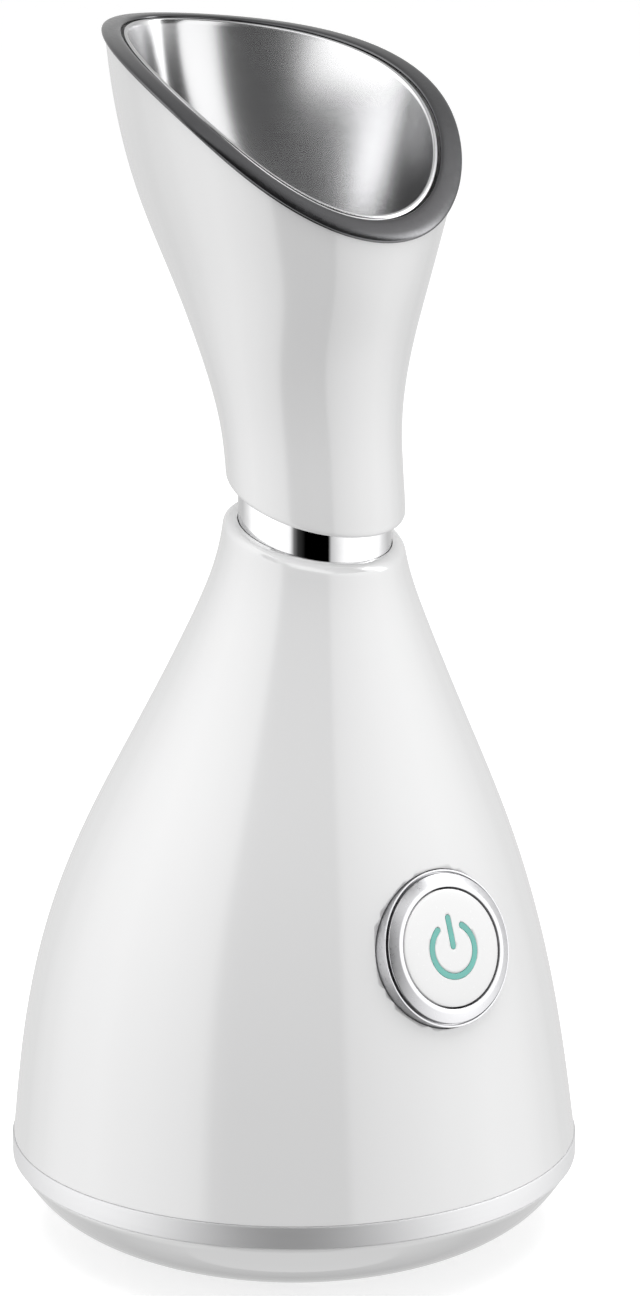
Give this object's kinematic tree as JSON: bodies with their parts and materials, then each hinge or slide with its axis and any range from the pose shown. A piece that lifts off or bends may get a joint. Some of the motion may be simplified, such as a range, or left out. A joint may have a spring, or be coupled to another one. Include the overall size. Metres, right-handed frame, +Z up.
{
  "type": "facial steamer",
  "caption": "Table-top facial steamer: white bell body with a front power button, chrome neck collar and a lift-off flared steam horn with an oblique metal-rimmed mouth.",
  "frame": {"origin": "centre of the round base, on the table under the rubber feet", "axes": "+Z up along the base axis, -Y is the front with the button, +X is the right-hand side seen from behind the object"},
  "size_m": [0.125, 0.125, 0.2634],
  "materials": {
    "white_gloss_plastic": "high-gloss white moulded plastic",
    "chrome": "mirror-polished",
    "brushed_band": "fine horizontal brushing",
    "grey_satin_rim": "satin dark grey plating",
    "satin_steel": "satin, brushed round the horn",
    "satin_bezel": "satin plating",
    "teal_lens": "smooth lit lens",
    "black_plastic": "fine matt grain",
    "inner_plastic": "plain moulded",
    "clear_tank": "clear polycarbonate",
    "silicone": "soft silicone",
    "rubber": "matt",
    "aluminium": "machined",
    "steel_screw": "plated steel",
    "pin_brass": "bright",
    "circuit_board": "green solder mask",
    "led_lens": "clear lens"
  },
  "bodies": {
    "root": {"base_band": "brushed_band", "base_screw_1": "steel_screw", "base_screw_2": "steel_screw", "base_screw_3": "steel_screw", "base_tray": "white_gloss_plastic", "board_screw_1": "steel_screw", "board_screw_2": "steel_screw", "board_screw_3": "steel_screw", "board_screw_4": "steel_screw", "body_shell": "white_gloss_plastic", "boiler_cover": "inner_plastic", "boiler_cup": "aluminium", "boiler_gasket": "silicone", "boiler_stand": "inner_plastic", "button_bezel": "satin_bezel", "button_housing": "black_plastic", "chassis": "inner_plastic", "control_board": "circuit_board", "feed_hose": "silicone", "filter_capacitor": "aluminium", "heating_element": "aluminium", "inlet_pin_left": "pin_brass", "inlet_pin_right": "pin_brass", "ionizer_module": "black_plastic", "mains_lead_left": "rubber", "mains_lead_right": "rubber", "neck_collar": "chrome", "pipe_seal": "silicone", "power_inlet": "black_plastic", "relay": "black_plastic", "rubber_foot_1": "rubber", "rubber_foot_2": "rubber", "rubber_foot_3": "rubber", "rubber_foot_4": "rubber", "status_led": "led_lens", "steam_outlet": "inner_plastic", "steam_pipe": "steel_screw", "switch_board": "circuit_board", "tact_switch": "black_plastic", "tank_gasket": "silicone", "thermal_fuse": "aluminium", "thermostat": "aluminium", "water_tank": "clear_tank"},
    "head": {"head_shell": "white_gloss_plastic", "rim_trim": "grey_satin_rim", "horn_liner": "satin_steel", "horn_floor": "satin_steel", "steam_grille": "black_plastic", "head_spigot": "inner_plastic", "spigot_seal": "silicone"},
    "button": {"button_cap": "white_gloss_plastic", "power_glyph": "teal_lens", "button_plunger": "inner_plastic"}
  },
  "joints": [
    {"name": "head_lift", "type": "slide", "parent": "root", "child": "head", "axis": [0, 0, 1], "range_m": [0, 0.07]},
    {"name": "button_press", "type": "slide", "parent": "root", "child": "button", "axis": [0, 0.9537, -0.3007], "range_m": [0, 0.0008], "stiffness_N_per_m": 800}
  ]
}
